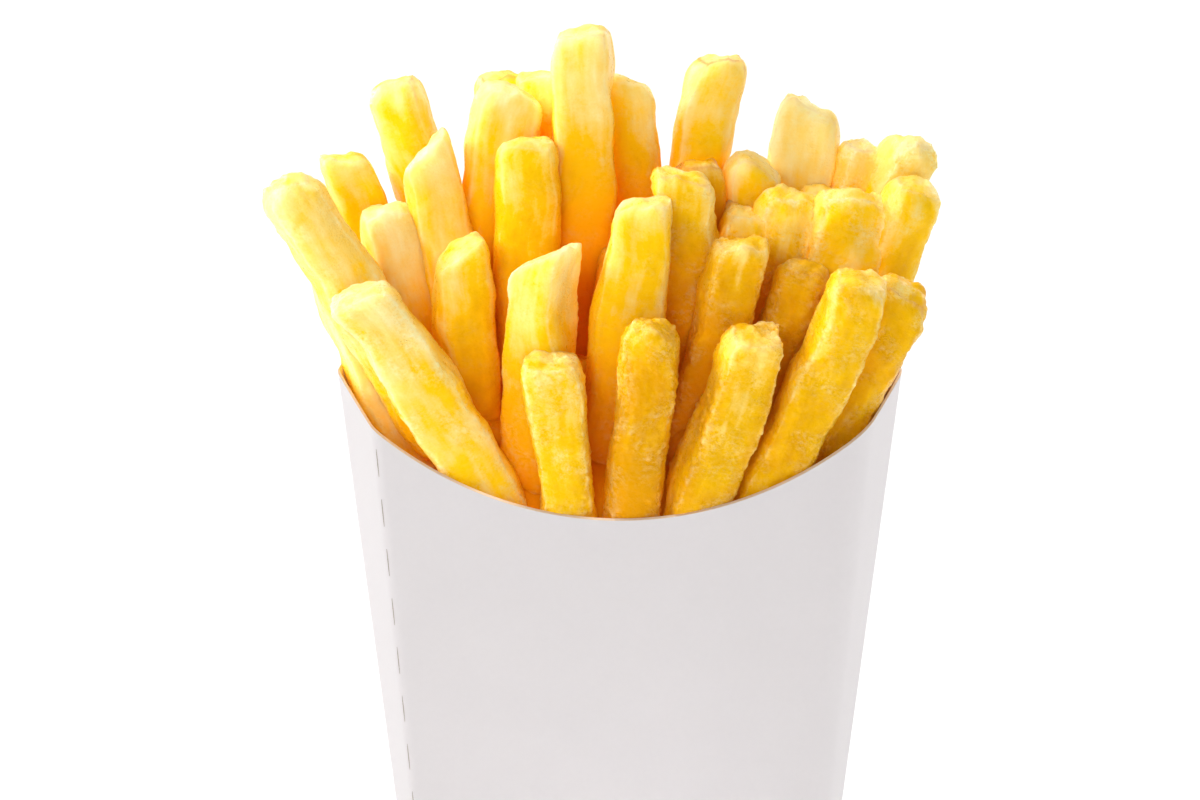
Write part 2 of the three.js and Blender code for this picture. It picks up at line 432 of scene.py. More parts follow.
def makeSleeve(rimPasses=8):
    columns = sleeveColumns()
    tops = []
    for column in columns:
        top = carton["frontRimLow"]
        for _ in range(rimPasses):  # the rim's height follows x, and x the height
            point = sleevePoint(column, top, 0)
            top = rimHeight(point.real, point.imag <= 0)
        tops.append(top)

    def ring(share, low, inset, raised=0):
        points = []
        for column, top in zip(columns, tops):
            z = low + (top - low) * share
            point = sleevePoint(column, z, inset) + (1j * lapLift(column) if inset == 0 else 0)
            points.append((point.real, point.imag, z + raised))
        return points

    # From under the base up the outside, over the rounded rim and down the inside
    thickness = carton["board"]
    plate = carton["baseThickness"]
    shares = np.linspace(0, 1, carton["rows"] + 1)
    rings = [ring(0, plate / 2, thickness), ring(0, 0, thickness)]
    rings += [ring(share, 0, 0) for share in shares]
    rings.append(ring(1, 0, thickness / 2, carton["edgeRound"]))
    rings += [ring(share, plate, thickness) for share in shares[::-1]]
    vertices, faces = skinRings(rings, (0, 0, plate / 2), (0, 0, plate))
    mesh = makeMesh("carton_board", vertices, faces, board, cutBoard)
    count = len(columns)
    rimRing = 2 + len(shares)
    bare = {*range(count, 2 * count), *range((rimRing - 1) * count, (rimRing + 1) * count)}
    mesh.polygons.foreach_set("material_index", [int(i in bare) for i in range(len(faces))])
    mesh.polygons.foreach_set("use_smooth", [True] * len(faces))
    mesh.set_sharp_from_angle(angle=math.radians(carton["sharpAngle"]))
    return addToScene("carton_board", mesh)


# The tongue of board that closes the base from below, in mm
baseFlap = {
    "length": 17,
    "thickness": 0.38,
    "low": 0.04,
    "clearance": 0.3,
    "frontSteps": 24,
    "tongueSteps": 32,
    "squareness": 0.6,  # 1 for a round tongue, less for a squarer one
}


def makeBaseFlap():
    inset = baseFlap["clearance"] + carton["board"]
    shares = np.linspace(0, 1, baseFlap["frontSteps"] + 1)
    front = [sleevePoint((1, False, share), 0, inset) for share in shares]
    outline = [(point.real, point.imag) for point in front]
    right = front[-1]
    for angle in np.linspace(0, math.pi, baseFlap["tongueSteps"] + 1)[1:-1]:
        y = right.imag + baseFlap["length"] * math.sin(angle) ** baseFlap["squareness"]
        outline.append((right.real * math.cos(angle), y))
    count = len(outline)
    low, high = baseFlap["low"], baseFlap["low"] + baseFlap["thickness"]
    vertices = [(x, y, z) for z in (low, high) for x, y in outline]
    faces = ringFaces(0, count, count) + [tuple(range(count))[::-1], tuple(range(count, 2 * count))]
    return addToScene("base_flap", makeMesh("base_flap", vertices, faces, board))


# Starts a node tree that a mesh, counts and sizes go into and a mesh comes out of
def startTree(name, counts, sizes):
    tree = bpy.data.node_groups.new(name, "GeometryNodeTree")
    kinds = {"Geometry": "Geometry", **dict.fromkeys(counts, "Int"), **dict.fromkeys(sizes, "Float")}
    for label, kind in kinds.items():
        tree.interface.new_socket(label, in_out="INPUT", socket_type="NodeSocket" + kind)
    tree.interface.new_socket("Geometry", in_out="OUTPUT", socket_type="NodeSocketGeometry")
    return tree, partial(addNode, tree), tree.nodes.new("NodeGroupInput").outputs


# Knife cuts along the left front crease, which let the board fold there, in mm
creaseSlits = {
    "highest": 85.2,
    "lowest": 8,
    "sizes": {"Pitch": 7.9, "Length": 4.7, "Width": 0.13, "Height": 0.14},
    "narrowing": 3.4,  # 4 for cuts that end in a point
    "outward": (-0.8, -1, 0),
    "steps": (3, 2, 11),
}


def slitTree():
    tree, add, given = startTree("creaseSlits", (), creaseSlits["sizes"])

    # One cut is a bar that narrows to its ends
    size = add("ShaderNodeCombineXYZ", (given["Width"], given["Height"], given["Length"]))
    bar = add("GeometryNodeMeshCube", (size, *creaseSlits["steps"]))
    spot = add("GeometryNodeInputPosition")
    z = add("ShaderNodeSeparateXYZ", (spot,), out=2)
    alongBar = add("DIVIDE", (z, given["Length"]))
    squared = add("MULTIPLY", (alongBar, alongBar))
    narrowing = add("MULTIPLY_ADD", (squared, -creaseSlits["narrowing"], 1))
    pointed = add("ShaderNodeCombineXYZ", (narrowing, 1, 1))
    lens = add("VECTOR MULTIPLY", (spot, pointed))
    slit = add("GeometryNodeSetPosition", {0: bar, 2: lens})

    # The cuts follow the crease at one pitch and face out of it
    line = add("GeometryNodeMeshToCurve", (given["Geometry"],))
    spaced = add("GeometryNodeResampleCurve", {"Curve": line, "Length": given["Pitch"]}, mode="LENGTH")
    tangent = add("GeometryNodeInputTangent")
    upright = add("FunctionNodeAlignRotationToVector", {"Vector": tangent}, axis="Z")
    facing = {"Rotation": upright, "Vector": creaseSlits["outward"]}
    outward = add("FunctionNodeAlignRotationToVector", facing, axis="Y", pivot_axis="Z")
    copies = {"Points": spaced, "Instance": slit, "Rotation": outward}
    slits = add("GeometryNodeInstanceOnPoints", copies)
    slits = add("GeometryNodeRealizeInstances", (slits,))
    # The cuts take the darker pulp, partly painted shade
    slits = add("GeometryNodeSetMaterial", {0: slits, 2: pulp})
    add("NodeGroupOutput", (slits,))
    return tree


# Runs a node tree on a mesh in mm and returns the result as a plain piece
def runTree(name, source, tree, sizes):
    holder = addToScene(name + "_source", source)
    modifier = holder.modifiers.new(name, "NODES")
    modifier.node_group = tree
    for item in tree.interface.items_tree:
        if item.in_out == "INPUT" and item.name in sizes:
            modifier[item.identifier] = sizes[item.name]
    depsgraph = bpy.context.evaluated_depsgraph_get()
    shaped = holder.evaluated_get(depsgraph)
    mesh = bpy.data.meshes.new_from_object(shaped, preserve_all_data_layers=True, depsgraph=depsgraph)
    bpy.data.objects.remove(holder)
    mesh.name = name
    mesh.transform(Matrix.Scale(mm, 4))
    return addToScene(name, mesh)


def makeSlits():
    ends = []
    for z in (creaseSlits["highest"], creaseSlits["lowest"]):
        point = sleevePoint((1, True, 0.5), z, 0)  # the middle of the left front crease
        ends.append((point.real, point.imag, z))
    line = bpy.data.meshes.new("crease_line")
    line.from_pydata(ends, [(0, 1)], [])
    return runTree("crease_slits", line, slitTree(), creaseSlits["sizes"])


sleeve = makeSleeve()
wear(sleeve, "carton")
wear(makeBaseFlap(), "carton")
wear(makeSlits(), "carton")
print("carton made")


# What the fry tree takes as inputs: sizes in mm unless a note says otherwise
fryShape = {
    "Hollow": 0.05,  # how far a face sinks between its edges, as a share of half a side
    "Width change": 0.3,  # share
    "Wander": 0.9,  # how far the middle strays from straight
    "Twist": 36.0,  # degrees
    "Taper length": 9.0,
    "Slant length": 12.0,
    # the length of the pale tip, which is partly painted highlight
    "Pale tip": 9.0,
    # Side light lets the painted shade of the heap start lower towards the sides
    "Side light": 0.4,  # mm further down that light reaches for each mm from the middle
    "End dent": 0.4,
    "Torn size": 4.0,
    "Torn height": 3.0,
    "Warp size": 13.0,
    "Warp": 1.8,
    "Lump size": 6.0,
    "Ripple size": 2.6,
    "Ridge height": 0.4,
    "Rag size": 1.8,
    "Rag height": 1.15,
    "Peel size": 1.1,
    "Peel height": 0.32,
    "Blister size": 1.1,
    "Blister height": 0.34,
}

# What is the same in every fry's pattern, lengths in mm
fryPattern = {
    "seedStep": 7.31,  # how far apart two seeds are in the noise of the slow changes
    "seedShift": (31.7, 17.9, 43.3),  # and in that of the surface
    "changeLength": 16,  # between one wide or thin place and the next
    "wanderLength": 28,
    "wanderStart": 50,
    "slantFade": 1.5,
    "dentPower": 8,
    "edgePower": 5,
    "ridgeDensity": 0.12,  # along the fry, for 1 across it
    "lumpRise": 2.0,  # for a lump value of 1
    "rippleRise": 1.1,
    "leastPeel": 0.3,  # share of the peel and of the rags on a fry without grain
    "leastRag": 0.2,
    "blisterPatch": 8,
    "blisterOnEdges": 0.12,
    "blisterDome": (0.6, 0.1),  # its foot and its crown, as shares of a cell from the centre
    "blisterCover": (0.4, 0.65, 0.15, 1),  # the noise off and in a patch, and their height there
}

# The columns of a fry, after its tip x y z and foot x y z: width, thickness, turn, bow, the tip's slant
# across and in depth, its taper, the crispness of the edges, lumps, blisters, tone from 0 golden to
# 1 cream, and how brown the edges of the tip are
fryFields = "width thick turn bow slantWide slantDeep taper crisp lump grain tone toast".split()


def fryTree():
    sizes = ("Open to", "Hidden from", "Swell", *fryShape)
    tree, add, given = startTree("fryShape", ("Steps across", "Steps along"), sizes)
    vectors = {"data_type": "FLOAT_VECTOR"}
    smooth = {"interpolation_type": "SMOOTHSTEP"}
    middle = (0.5, 0.5, 0.5)  # of a noise

    # A plain box for each fry, which keeps its own corner-to-corner coordinates
    steps = (given["Steps across"], given["Steps across"], given["Steps along"])
    blank = add("GeometryNodeMeshCube", ((2, 2, 1), *steps))
    spot = add("GeometryNodeInputPosition")
    marked = add("GeometryNodeStoreNamedAttribute", {0: blank, 2: "cube", 3: spot}, **vectors)
    copies = add("GeometryNodeInstanceOnPoints", {"Points": given["Geometry"], "Instance": marked})
    fries = add("GeometryNodeRealizeInstances", (copies,))
    read = {
        name: add("GeometryNodeInputNamedAttribute", (name,), data_type="FLOAT")
        for name in (*fryFields, "seed")
    }
    foot, tip, cube = (
        add("GeometryNodeInputNamedAttribute", (name,), **vectors) for name in ("foot", "tip", "cube")
    )

    # The fry's own axes, in mm: along its length, across its width and through its thickness
    span = add("VECTOR SUBTRACT", (tip, foot))
    length = add("VECTOR LENGTH", (span,), out=1)
    along = add("VECTOR NORMALIZE", (span,))
    level = add("VECTOR CROSS_PRODUCT", ((0, 1, 0), along))
    level = add("VECTOR NORMALIZE", (level,))
    u = add("ShaderNodeSeparateXYZ", (cube,))
    v = u.node.outputs[1]
    share = add("ADD", (u.node.outputs[2], 0.5))
    distance = add("MULTIPLY", (share, length))
    tipGap = add("SUBTRACT", (length, distance))

    # Slow changes along the fry: in width, thickness and twist
    seedPlace = add("MULTIPLY", (read["seed"], fryPattern["seedStep"]))
    changePlace = add("MULTIPLY_ADD", (distance, 1 / fryPattern["changeLength"], seedPlace))
    slowNoise = {"W": changePlace, "Scale": 1, "Detail": 1}
    changes = add("ShaderNodeTexNoise", slowNoise, out=1, noise_dimensions="1D")
    changes = add("VECTOR SUBTRACT", (changes, middle))
    changes = add("ShaderNodeSeparateXYZ", (changes,))
    halfWide = add("MULTIPLY", (read["width"], 0.5))
    halfThick = add("MULTIPLY", (read["thick"], 0.5))
    endLength = add("MULTIPLY", (add("ADD", (halfWide, halfThick)), 0.5))
    widthChange = add("MULTIPLY_ADD", (changes, given["Width change"], 1))
    thickChange = add("MULTIPLY_ADD", (changes.node.outputs[1], given["Width change"], 1))
    halfWide = add("MULTIPLY", (halfWide, widthChange))
    halfThick = add("MULTIPLY", (halfThick, thickChange))
    twist = add("MULTIPLY_ADD", (changes.node.outputs[2], given["Twist"], read["turn"]))
    angle = add("RADIANS", (twist,))
    wide = add("ShaderNodeVectorRotate", {"Vector": level, "Axis": along, "Angle": angle})
    deep = add("VECTOR CROSS_PRODUCT", (along, wide))

    # A box rounded evenly along its edges and ends
    nearest = add("MINIMUM", (distance, tipGap))
    end = add("SUBTRACT", (1, add("DIVIDE", (nearest, endLength))), use_clamp=True)
    whichEnd = add("SIGN", (add("SUBTRACT", (share, 0.5)),))
    outU = add("ABSOLUTE", (u,))
    outV = add("ABSOLUTE", (v,))
    powerU, powerV, powerEnd = (add("POWER", (size, read["crisp"])) for size in (outU, outV, end))
    total = add("ADD", (add("ADD", (powerU, powerV)), powerEnd))
    rounding = add("POWER", (total, add("DIVIDE", (-1, read["crisp"]))))

    # Faces sink a little between their edges
    openU = add("SUBTRACT", (1, add("MULTIPLY", (u, u))))
    openV = add("SUBTRACT", (1, add("MULTIPLY", (v, v))))
    sinkU = add("SUBTRACT", (1, add("MULTIPLY", (openV, given["Hollow"]))))
    sinkV = add("SUBTRACT", (1, add("MULTIPLY", (openU, given["Hollow"]))))
    sunkU = add("MULTIPLY", (u, sinkU))
    sunkV = add("MULTIPLY", (v, sinkV))

    # The tip narrows
    narrowing = add("DIVIDE", (tipGap, add("MULTIPLY", (given["Taper length"], -1))))
    narrowing = add("MULTIPLY", (add("EXPONENT", (narrowing,)), read["taper"]))
    size = add("SUBTRACT", (1, narrowing))
    size = add("MULTIPLY", (size, add("MULTIPLY", (rounding, given["Swell"]))))
    across = add("MULTIPLY", (add("MULTIPLY", (sunkU, halfWide)), size))
    through = add("MULTIPLY", (add("MULTIPLY", (sunkV, halfThick)), size))

    # A slanted cut slides the rings near the tip, and the cut face is torn and a little dished
    slantFade = add("SUBTRACT", (1, add("DIVIDE", (tipGap, given["Slant length"]))), use_clamp=True)
    slantFade = add("POWER", (slantFade, fryPattern["slantFade"]))
    slide = add("MULTIPLY", (across, read["slantWide"]))
    slide = add("ADD", (slide, add("MULTIPLY", (through, read["slantDeep"]))))
    slide = add("MULTIPLY", (slide, slantFade))
    capShift = add("MULTIPLY", (end, endLength))
    capShift = add("MULTIPLY", (capShift, add("SUBTRACT", (rounding, 1))))
    dent = add("POWER", (end, fryPattern["dentPower"]))
    dent = add("MULTIPLY", (add("MULTIPLY", (openU, openV)), dent))
    capShift = add("SUBTRACT", (capShift, add("MULTIPLY", (dent, given["End dent"]))))
    capPlace = add("ShaderNodeCombineXYZ", (across, through, seedPlace))
    tornScale = add("DIVIDE", (1, given["Torn size"]))
    torn = add("ShaderNodeTexNoise", {"Vector": capPlace, "Scale": tornScale, "Detail": 2})
    torn = add("MULTIPLY", (add("SUBTRACT", (torn, 0.5)), add("MULTIPLY", (end, given["Torn height"]))))
    capShift = add("MULTIPLY", (add("ADD", (capShift, torn)), whichEnd))
    reach = add("ADD", (add("ADD", (distance, slide)), capShift))

    # The middle line bows to one side and wanders
    bowed = add("MULTIPLY", (share, add("SUBTRACT", (1, share))))
    bowed = add("MULTIPLY", (bowed, add("MULTIPLY", (read["bow"], 4))))
    wanderPlace = add("ADD", (seedPlace, fryPattern["wanderStart"]))
    wanderPlace = add("MULTIPLY_ADD", (distance, 1 / fryPattern["wanderLength"], wanderPlace))
    wander = add("ShaderNodeTexNoise", {**slowNoise, "W": wanderPlace}, out=1, noise_dimensions="1D")
    wander = add("VECTOR SUBTRACT", (wander, middle))
    wander = add("VECTOR SCALE", {0: wander, "Scale": given["Wander"]})
    point = add("VECTOR ADD", (foot, wander))
    for axis, amount in ((along, reach), (wide, across), (deep, through), (level, bowed)):
        step = add("VECTOR SCALE", {0: axis, "Scale": amount})
        point = add("VECTOR ADD", (point, step))
    fries = add("GeometryNodeSetPosition", {0: fries, 2: point})

    # Coordinates in mm that stay with the fry's surface, for its lumps and its material
    shift = add("ShaderNodeCombineXYZ", (read["seed"],) * 3)
    shift = add("VECTOR MULTIPLY", (shift, fryPattern["seedShift"]))
    grainPlace = add("ShaderNodeCombineXYZ", (across, through, reach))
    grainPlace = add("VECTOR ADD", (grainPlace, shift))
    stored = {0: fries, 2: "grainPlace", 3: grainPlace}
    fries = add("GeometryNodeStoreNamedAttribute", stored, **vectors)

    # How near a point is to an edge and to the tip, where the material pales partly as painted highlight,
    # and how deep the heap hides it, which the material paints as shade
    corner = add("MINIMUM", (outU, outV))
    rimOfEnd = add("MULTIPLY", (add("MAXIMUM", (outU, outV)), end))
    edge = add("POWER", (add("MAXIMUM", (corner, rimOfEnd)), fryPattern["edgePower"]))
    tipGlow = add("DIVIDE", (tipGap, add("MULTIPLY", (given["Pale tip"], -1))))
    tipGlow = add("EXPONENT", (tipGlow,))
    spot = add("ShaderNodeSeparateXYZ", (add("GeometryNodeInputPosition"),))
    height = add("MULTIPLY_ADD", (add("ABSOLUTE", (spot,)), given["Side light"], spot.node.outputs[2]))
    # 0 above Open to and 1 below Hidden from: the share of painted shade
    burial = add("ShaderNodeMapRange", (height, given["Open to"], given["Hidden from"]), **smooth)
    for label, value in (("edge", edge), ("tipGlow", tipGlow), ("burial", burial)):
        stored = {0: fries, 2: label, 3: value}
        fries = add("GeometryNodeStoreNamedAttribute", stored, data_type="FLOAT")

    # The whole fry is warped, ridges run along it, its edges are ragged, and lumps, an orange-peel of
    # dimples and patches of blisters stand out along the normal
    grainPlace = add("GeometryNodeInputNamedAttribute", ("grainPlace",), **vectors)
    edge = add("GeometryNodeInputNamedAttribute", ("edge",), data_type="FLOAT")
    drawn = (1, 1, fryPattern["ridgeDensity"])
    drawn = add("VECTOR MULTIPLY", (grainPlace, drawn))
    noises = {}
    for label, size, detail, at in (
        ("warp", "Warp size", 1, grainPlace),
        ("lumps", "Lump size", 1, grainPlace),
        ("ripples", "Ripple size", 2, grainPlace),
        ("ridges", "Ripple size", 1, drawn),
        ("peel", "Peel size", 2, grainPlace),
        ("rags", "Rag size", 2, grainPlace),
    ):
        scale = add("DIVIDE", (1, given[size]))
        noises[label] = add("ShaderNodeTexNoise", {"Vector": at, "Scale": scale, "Detail": detail})
    warp = noises.pop("warp").node.outputs[1]
    warp = add("VECTOR SUBTRACT", (warp, middle))
    warp = add("VECTOR SCALE", {0: warp, "Scale": given["Warp"]})
    bumps = {label: add("SUBTRACT", (noise, 0.5)) for label, noise in noises.items()}
    lumpRise = add("MULTIPLY", (read["lump"], fryPattern["lumpRise"]))
    rippleRise = add("MULTIPLY", (read["lump"], fryPattern["rippleRise"]))
    leastPeel, leastRag = fryPattern["leastPeel"], fryPattern["leastRag"]
    peelRise = add("MULTIPLY_ADD", (read["grain"], 1 - leastPeel, leastPeel))
    ragRise = add("MULTIPLY_ADD", (read["grain"], 1 - leastRag, leastRag))
    ragRise = add("MULTIPLY", (add("MULTIPLY", (edge, ragRise)), given["Rag height"]))
    rise = add("MULTIPLY", (bumps["lumps"], lumpRise))
    rise = add("MULTIPLY_ADD", (bumps["ripples"], rippleRise, rise))
    rise = add("MULTIPLY_ADD", (bumps["ridges"], given["Ridge height"], rise))
    rise = add("MULTIPLY_ADD", (add("MULTIPLY", (bumps["peel"], peelRise)), given["Peel height"], rise))
    rise = add("ADD", (rise, add("MULTIPLY", (bumps["rags"], ragRise))))

    # Blisters are smooth cells, in patches and along the edges
    blisterScale = add("DIVIDE", (1, given["Blister size"]))
    cells = {"Vector": grainPlace, "Scale": blisterScale, "Smoothness": 0.5}
    cells = add("ShaderNodeTexVoronoi", cells, feature="SMOOTH_F1")
    dome = add("ShaderNodeMapRange", (cells, *fryPattern["blisterDome"], 0, 1), **smooth)
    patchScale = 1 / fryPattern["blisterPatch"]
    patch = add("ShaderNodeTexNoise", {"Vector": grainPlace, "Scale": patchScale, "Detail": 2})
    patch = add("MULTIPLY_ADD", (edge, fryPattern["blisterOnEdges"], patch))
    patch = add("ShaderNodeMapRange", (patch, *fryPattern["blisterCover"]), **smooth)
    relief = add("MULTIPLY", (dome, patch))
    stored = {0: fries, 2: "relief", 3: relief}
    fries = add("GeometryNodeStoreNamedAttribute", stored, data_type="FLOAT")
    blister = add("MULTIPLY", (relief, add("MULTIPLY", (read["grain"], given["Blister height"]))))
    rise = add("ADD", (rise, blister))
    outward = {0: add("GeometryNodeInputNormal"), "Scale": rise}
    outward = add("VECTOR SCALE", outward)
    offset = add("VECTOR ADD", (outward, warp))
    fries = add("GeometryNodeSetPosition", {0: fries, 3: offset})

    # Below the rim the fries press against the inside of the board, and over the rim they lean out
    x = add("ShaderNodeSeparateXYZ", (add("GeometryNodeInputPosition"),))
    y, z = x.node.outputs[1:3]
    fold, crease, depth, bow = (
        add("MULTIPLY_ADD", (z, carton[label][1], carton[label][0]))
        for label in ("foldHalfWidth", "creaseHalfWidth", "creaseDepth", "panelBow")
    )
    crease = add("SUBTRACT", (crease, carton["creaseEase"]))
    frontRadius, frontCentre, backRadius, backCentre = rimCircles()
    squared = add("MULTIPLY", (x, x))
    frontRise = add("SQRT", (add("SUBTRACT", (frontRadius**2, squared)),))
    backRise = add("SQRT", (add("SUBTRACT", (backRadius**2, squared)),))
    frontRim = add("SUBTRACT", (frontCentre, frontRise))
    backRim = add("ADD", (backCentre, backRise))
    rim = add("ShaderNodeMix", {0: add("GREATER_THAN", (y, 0)), 2: frontRim, 3: backRim})
    over = add("MAXIMUM", (add("SUBTRACT", (z, rim)), 0))
    over = add("MULTIPLY", (over, carton["leanOut"]))
    gap = carton["board"] + carton["foodGap"]
    widest = add("ADD", (add("SUBTRACT", (fold, gap * carton["foldInset"])), over))
    pressedX = add("MAXIMUM", (add("MINIMUM", (x, widest)), add("MULTIPLY", (widest, -1))))
    outX = add("ABSOLUTE", (pressedX,))
    side = add("DIVIDE", (add("SUBTRACT", (fold, outX)), add("SUBTRACT", (fold, crease))))
    side = add("MAXIMUM", (add("MINIMUM", (side, 1)), 0))
    onPanel = add("MINIMUM", (add("DIVIDE", (outX, crease)), 1))
    bulge = add("SUBTRACT", (1, add("MULTIPLY", (onPanel, onPanel))))
    bulge = add("MULTIPLY", (bow, bulge))
    deepest = add("SUBTRACT", (add("MULTIPLY_ADD", (depth, side, bulge)), gap))
    deepest = add("ADD", (deepest, over))
    pressedY = add("MAXIMUM", (add("MINIMUM", (y, deepest)), add("MULTIPLY", (deepest, -1))))
    pressed = add("ShaderNodeCombineXYZ", (pressedX, pressedY, z))
    fries = add("GeometryNodeSetPosition", {0: fries, 2: pressed})
    fries = add("GeometryNodeSetShadeSmooth", (fries,))
    fries = add("GeometryNodeRealizeInstances", (fries,))
    fries = add("GeometryNodeSetMaterial", {0: fries, 2: potato})
    add("NodeGroupOutput", (fries,))
    return tree


def makeFries(name, row, tree):
    fries = row["fries"]
    points = bpy.data.meshes.new(name + "_points")
    points.from_pydata([fry[3:6] for fry in fries], [], [])
    for label, first in (("tip", 0), ("foot", 3)):
        values = points.attributes.new(label, "FLOAT_VECTOR", "POINT")
        values.data.foreach_set("vector", [number for fry in fries for number in fry[first : first + 3]])
    columns = {field: [float(fry[6 + i]) for fry in fries] for i, field in enumerate(fryFields)}
    columns["seed"] = [row["seed"] + i * seedGap for i in range(len(fries))]
    for field, numbers in columns.items():
        points.attributes.new(field, "FLOAT", "POINT").data.foreach_set("value", numbers)

    sizes = {"Steps across": row["stepsAcross"], "Steps along": row["stepsAlong"], **fryShape}
    sizes |= {"Open to": row["openTo"], "Hidden from": row["hiddenFrom"], "Swell": row["swell"]}
    piece = runTree(name, points, tree, sizes)
    mesh = piece.data
    keep = ("position", "grainPlace", *potatoMarks)
    for label in [attribute.name for attribute in mesh.attributes if attribute.domain == "POINT"]:
        if label not in keep and not label.startswith("."):
            mesh.attributes.remove(mesh.attributes[label])
    print(name, len(fries), "fries,", len(mesh.polygons) * 2, "triangles")
    return piece


# The rows, from the front of the carton to its back. From openTo up a fry is shown fully lit, and
# below hiddenFrom it takes the full painted shade of the heap, both in mm above the table. Swell makes
# up for what rounding takes off. Letters run from A at the left to K at the right, with L to N in front,
# and Q and the fries without a letter are out of sight
seedGap = 1.37  # between a fry's seed and the next one's

frontRow = {
    "openTo": 92,
    "hiddenFrom": 50,
    "stepsAcross": 25,
    "stepsAlong": 150,
    "seed": 3,
    "swell": 1.07,
    "fries": [
        (-42.5, -15, 114, -14, -9, 60, 10.2, 9.4, 3, 2.6, -0.1, 0.1, 0.06, 3.3, 0.5, 0.6, 1, 0.15),  # A1
        (-11.5, -16.5, 103.5, -8.5, -12, 60, 9.2, 9, 0, 1, -0.06, 0.05, 0.04, 3.6, 0.5, 0.8, 0.5, 0.1),  # N3
        (5.5, -17, 109.5, -1, -12, 60, 9.6, 9.2, 0, 0.3, 0.02, -0.05, 0.1, 2.6, 0.5, 1, 0.05, 0.3),  # N2
        (22, -16.5, 108, 5.5, -12, 60, 9.2, 9.2, 16, 0.5, 0.2, 0.1, 0.05, 3.8, 0.6, 1, 0.2, 0.3),  # N1
        (39, -14, 116.5, 14.2, -10.5, 60, 9.4, 9.4, 8, 0.8, 0.1, 0.15, 0.05, 3, 0.6, 0.8, 0.3, 0.25),  # M1
        (46, -7.5, 113.5, 18, -6, 60, 9.6, 9.2, 5, 1.5, 0, 0.1, 0.04, 3.4, 0.9, 1, 0.14, 0.7),  # M2
    ],
}

secondRow = {
    "openTo": 120,
    "hiddenFrom": 80,
    "stepsAcross": 23,
    "stepsAlong": 128,
    "seed": 5,
    "swell": 1.07,
    "fries": [
        (-54.5, -7, 131, -28, -4, 84, 10.6, 10, 8, 0.5, -0.1, 0, 0.12, 2.3, 0.5, 0.4, 1, 0.15),  # A2
        (-29, 6, 106, -23, 4, 60, 9, 9, -10, 0, 0.2, 0, 0.05, 2.8, 0.4, 0.3, 0.4, 0.15),
        (38, -3, 104, 29, -2, 60, 9, 9, 0, 0, 0, 0, 0.05, 2.8, 0.4, 0.3, 0.4, 0.15),
        (-26, -4, 120, -23, -2, 60, 9.4, 9.2, 15, 0, 0.53, 0.1, 0.04, 2.6, 0.45, 0.2, 0.55, 0.15),  # D1
        (-11.7, -9.5, 119, -16, -7, 60, 9.4, 9, -28, 0, 0.6, 0, 0.05, 3.8, 0.3, 0.4, 1, 0.15),  # N4
        (3.8, -8, 128, -8, -4.5, 60, 10.8, 9.4, 0, 1.4, 0.3, 0, 0.06, 2.8, 0.45, 0.3, 0.74, 0.15),  # H1
        (20, -8, 121, 2.5, -5, 60, 8.6, 9, 8, 0.3, 0.3, 0, 0.05, 3.4, 0.8, 1, 0.02, 0.3),  # J1
        (30.4, -4, 116.3, 13, -3, 60, 8.6, 8.8, 0, 0, 0, 0, 0.06, 2.5, 1.3, 1, 0, 0.5),  # L1
    ],
}

# Fries against the left wall, open to the light down to the rim, so their painted shade starts lower
sideRow = {
    "openTo": 100,
    "hiddenFrom": 50,
    "stepsAcross": 21,
    "stepsAlong": 100,
    "seed": 13,
    "swell": 1.07,
    "fries": [
        (-47, 1, 116, -26.5, 0, 60, 9.6, 9.2, 15, 0, 0, 0, 0.05, 2.8, 0.4, 0.3, 1, 0.15),  # A3
        (-43, 8, 96.5, -26, 6, 60, 9.4, 9, 20, 0, 0, 0, 0.05, 2.8, 0.4, 0.3, 0.9, 0.5),  # A4
        (-38.2, 4, 124, -29, 3, 60, 10.2, 9, 20, 0, 0, 0, 0.05, 2.6, 0.35, 0.2, 1.08, 0.15),  # B2
    ],
}

thirdRow = {
    "openTo": 132,
    "hiddenFrom": 94,
    "stepsAcross": 21,
    "stepsAlong": 114,
    "seed": 7,
    "swell": 1.13,
    "fries": [
        (1, 2, 118, 0, 2, 60, 9, 9, 5, 0, 0, 0, 0.05, 2.8, 0.4, 0.5, 0.2, 0.15),  # Q3
        (-32, 5.5, 134, -19, 5, 60, 8.8, 9, 10, 0, 0.65, 0, 0.08, 2.6, 0.4, 0.1, 1, 0.15),  # C2
        (-15, 2, 136, -16, 3, 60, 10, 9.2, 5, 0, 0.05, 0, 0.06, 2.5, 0.3, 0.15, 0.52, 0.15),  # E2
        (10, -0.5, 131, 11.5, 1, 60, 9.2, 9, 0, 0.5, -0.35, 0, 0.06, 3, 0.7, 0.8, 0.48, 0.4),  # H2
        (21.2, 3.5, 124, 12.5, 3, 60, 9.4, 9, 10, 0, 0, 0, 0.05, 2.3, 1.1, 1, 0.55, 0.15),  # J2b
        (28, 4, 126.8, 17, 4, 60, 10.4, 9, 0, 0, 0, 0, 0.05, 2.3, 1.2, 1, 0.55, 0.3),  # J2a
        (33.6, 10, 126.4, 24, 9, 60, 9, 7, 0, 0, 0, 0, 0.06, 2.3, 1.1, 0.9, 0.4, 0.15),  # J3a
        (38.6, 3, 127.4, 25.5, 2, 60, 12, 9, 4, 0, 0, 0, 0.05, 2.4, 1.1, 0.9, 0.62, 0.25),  # J3b
        (49.2, 4.5, 128, 31, 4, 60, 9.4, 9, 15, -2.5, -0.1, 0.1, 0.04, 2.3, 0.8, 0.6, 0.5, 0.15),  # K3
    ],
}

